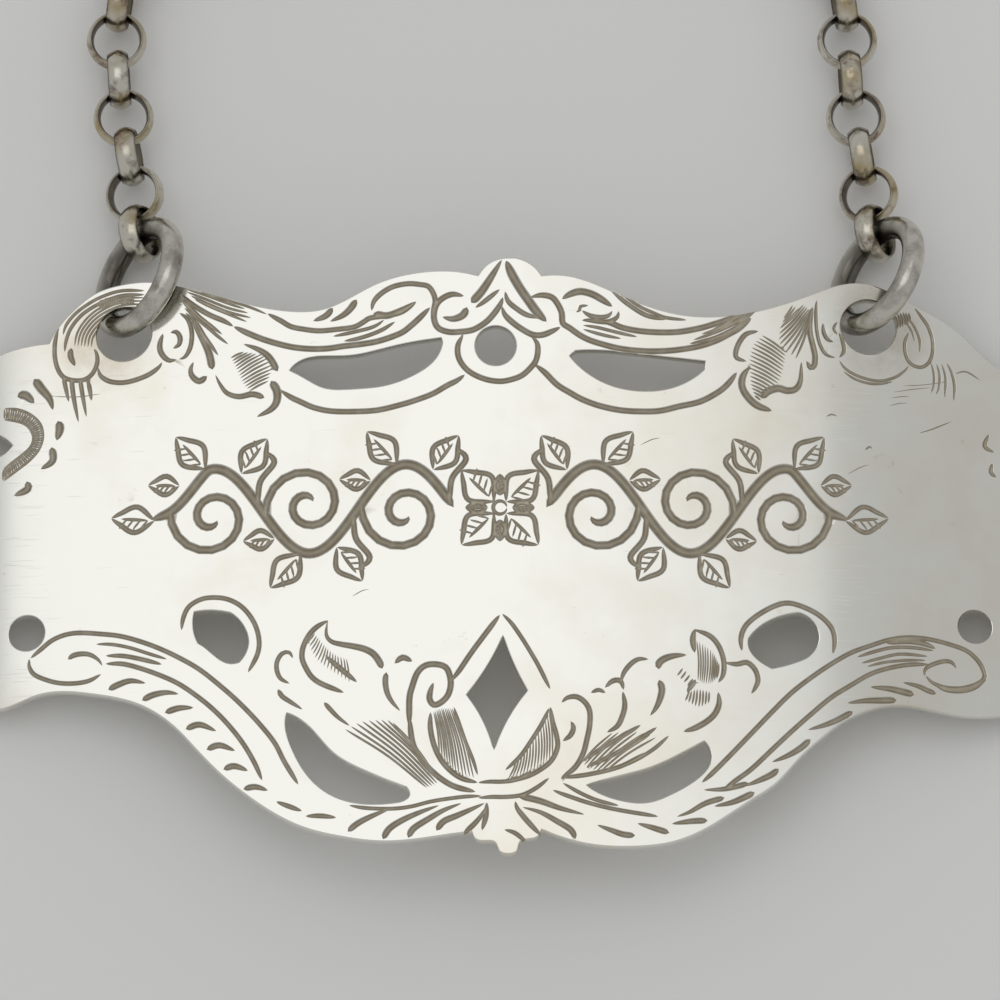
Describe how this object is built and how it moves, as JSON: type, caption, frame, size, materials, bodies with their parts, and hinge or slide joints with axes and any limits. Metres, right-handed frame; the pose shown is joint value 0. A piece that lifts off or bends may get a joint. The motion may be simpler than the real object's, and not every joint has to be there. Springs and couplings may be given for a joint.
{
  "type": "bottle label",
  "caption": "Bent, saw-pierced and scroll-edged silver bottle label that hangs by two jump rings from a round-link neck chain.",
  "frame": {"origin": "middle of the footprint of label and laid-out chain, on the surface they lie on", "axes": "+X along the label to its right end, +Y up the label towards the chain, +Z out of the label's face"},
  "size_m": [0.0566, 0.0598, 0.0058],
  "materials": {
    "label_silver": "polished sterling silver with worn engraving",
    "ring_silver": "darkened sterling silver",
    "chain_silver": "tarnished sterling silver"
  },
  "bodies": {
    "label": {"label_plate": "label_silver"},
    "left_ring": {"left_jump_ring": "ring_silver", "left_link_01": "chain_silver", "left_link_02": "chain_silver"},
    "left_lower_strand": {"left_link_03": "chain_silver", "left_link_04": "chain_silver"},
    "left_upper_strand": {"left_link_05": "chain_silver"},
    "left_fold_1": {"left_link_06": "chain_silver", "left_link_07": "chain_silver"},
    "left_fold_2": {"left_link_08": "chain_silver", "left_link_09": "chain_silver"},
    "left_fold_3": {"left_link_10": "chain_silver", "left_link_11": "chain_silver"},
    "left_fold_4": {"left_link_12": "chain_silver", "left_link_13": "chain_silver"},
    "left_fold_5": {"left_link_14": "chain_silver", "left_link_15": "chain_silver", "left_link_16": "chain_silver", "left_link_17": "chain_silver", "left_link_18": "chain_silver", "crown_link": "chain_silver"},
    "right_ring": {"right_jump_ring": "ring_silver", "right_link_01": "chain_silver", "right_link_02": "chain_silver"},
    "right_lower_strand": {"right_link_03": "chain_silver", "right_link_04": "chain_silver"},
    "right_upper_strand": {"right_link_05": "chain_silver"},
    "right_fold_1": {"right_link_06": "chain_silver", "right_link_07": "chain_silver"},
    "right_fold_2": {"right_link_08": "chain_silver", "right_link_09": "chain_silver"},
    "right_fold_3": {"right_link_10": "chain_silver", "right_link_11": "chain_silver"},
    "right_fold_4": {"right_link_12": "chain_silver", "right_link_13": "chain_silver"},
    "right_fold_5": {"right_link_14": "chain_silver", "right_link_15": "chain_silver", "right_link_16": "chain_silver", "right_link_17": "chain_silver", "right_link_18": "chain_silver"}
  },
  "joints": [
    {"name": "left_ring_swing", "type": "hinge", "parent": "label", "child": "left_ring", "pos_m": [0, -0.00163, 0.00345], "axis": [1, 0, 0], "range_deg": [-30, 0]},
    {"name": "left_sway_below", "type": "hinge", "parent": "left_ring", "child": "left_lower_strand", "pos_m": [-0.01855, 0.00502, 0.00154], "axis": [0, 0, 1], "range_deg": [-14, 14]},
    {"name": "left_sway_above", "type": "hinge", "parent": "left_lower_strand", "child": "left_upper_strand", "pos_m": [-0.01916, 0.00909, 0.00154], "axis": [0, 0, 1], "range_deg": [-14, 14]},
    {"name": "left_fold_1", "type": "hinge", "parent": "left_upper_strand", "child": "left_fold_1", "pos_m": [-0.01941, 0.01114, 0.00154], "axis": [1, 0, 0], "range_deg": [-50, 50]},
    {"name": "left_fold_2", "type": "hinge", "parent": "left_fold_1", "child": "left_fold_2", "pos_m": [-0.01939, 0.01524, 0.00154], "axis": [1, 0, 0], "range_deg": [-40, 40]},
    {"name": "left_fold_3", "type": "hinge", "parent": "left_fold_2", "child": "left_fold_3", "pos_m": [-0.01814, 0.01916, 0.00154], "axis": [1, 0, 0], "range_deg": [-20, 20]},
    {"name": "left_fold_4", "type": "hinge", "parent": "left_fold_3", "child": "left_fold_4", "pos_m": [-0.01581, 0.02254, 0.00154], "axis": [1, 0, 0], "range_deg": [-12, 12]},
    {"name": "left_fold_5", "type": "hinge", "parent": "left_fold_4", "child": "left_fold_5", "pos_m": [-0.01266, 0.02519, 0.00154], "axis": [1, 0, 0], "range_deg": [-10, 10]},
    {"name": "right_ring_swing", "type": "hinge", "parent": "label", "child": "right_ring", "pos_m": [0, -0.00163, 0.00345], "axis": [1, 0, 0], "range_deg": [-30, 0]},
    {"name": "right_sway_below", "type": "hinge", "parent": "right_ring", "child": "right_lower_strand", "pos_m": [0.01871, 0.00502, 0.00154], "axis": [0, 0, 1], "range_deg": [-14, 14]},
    {"name": "right_sway_above", "type": "hinge", "parent": "right_lower_strand", "child": "right_upper_strand", "pos_m": [0.0181, 0.00909, 0.00154], "axis": [0, 0, 1], "range_deg": [-14, 14]},
    {"name": "right_fold_1", "type": "hinge", "parent": "right_upper_strand", "child": "right_fold_1", "pos_m": [0.01785, 0.01114, 0.00154], "axis": [1, 0, 0], "range_deg": [-50, 50]},
    {"name": "right_fold_2", "type": "hinge", "parent": "right_fold_1", "child": "right_fold_2", "pos_m": [0.01755, 0.01524, 0.00154], "axis": [1, 0, 0], "range_deg": [-40, 40]},
    {"name": "right_fold_3", "type": "hinge", "parent": "right_fold_2", "child": "right_fold_3", "pos_m": [0.0163, 0.01916, 0.00154], "axis": [1, 0, 0], "range_deg": [-20, 20]},
    {"name": "right_fold_4", "type": "hinge", "parent": "right_fold_3", "child": "right_fold_4", "pos_m": [0.01397, 0.02254, 0.00154], "axis": [1, 0, 0], "range_deg": [-12, 12]},
    {"name": "right_fold_5", "type": "hinge", "parent": "right_fold_4", "child": "right_fold_5", "pos_m": [0.01082, 0.02519, 0.00154], "axis": [1, 0, 0], "range_deg": [-10, 10]}
  ],
  "couplings": [
    {"joint": "right_ring_swing", "follows": "left_ring_swing", "ratio": 1},
    {"joint": "left_sway_above", "follows": "left_sway_below", "ratio": -1},
    {"joint": "right_sway_below", "follows": "left_sway_below", "ratio": 1},
    {"joint": "right_sway_above", "follows": "left_sway_below", "ratio": -1},
    {"joint": "right_fold_1", "follows": "left_fold_1", "ratio": 1},
    {"joint": "right_fold_2", "follows": "left_fold_2", "ratio": 1},
    {"joint": "right_fold_3", "follows": "left_fold_3", "ratio": 1},
    {"joint": "right_fold_4", "follows": "left_fold_4", "ratio": 1},
    {"joint": "right_fold_5", "follows": "left_fold_5", "ratio": 1}
  ]
}
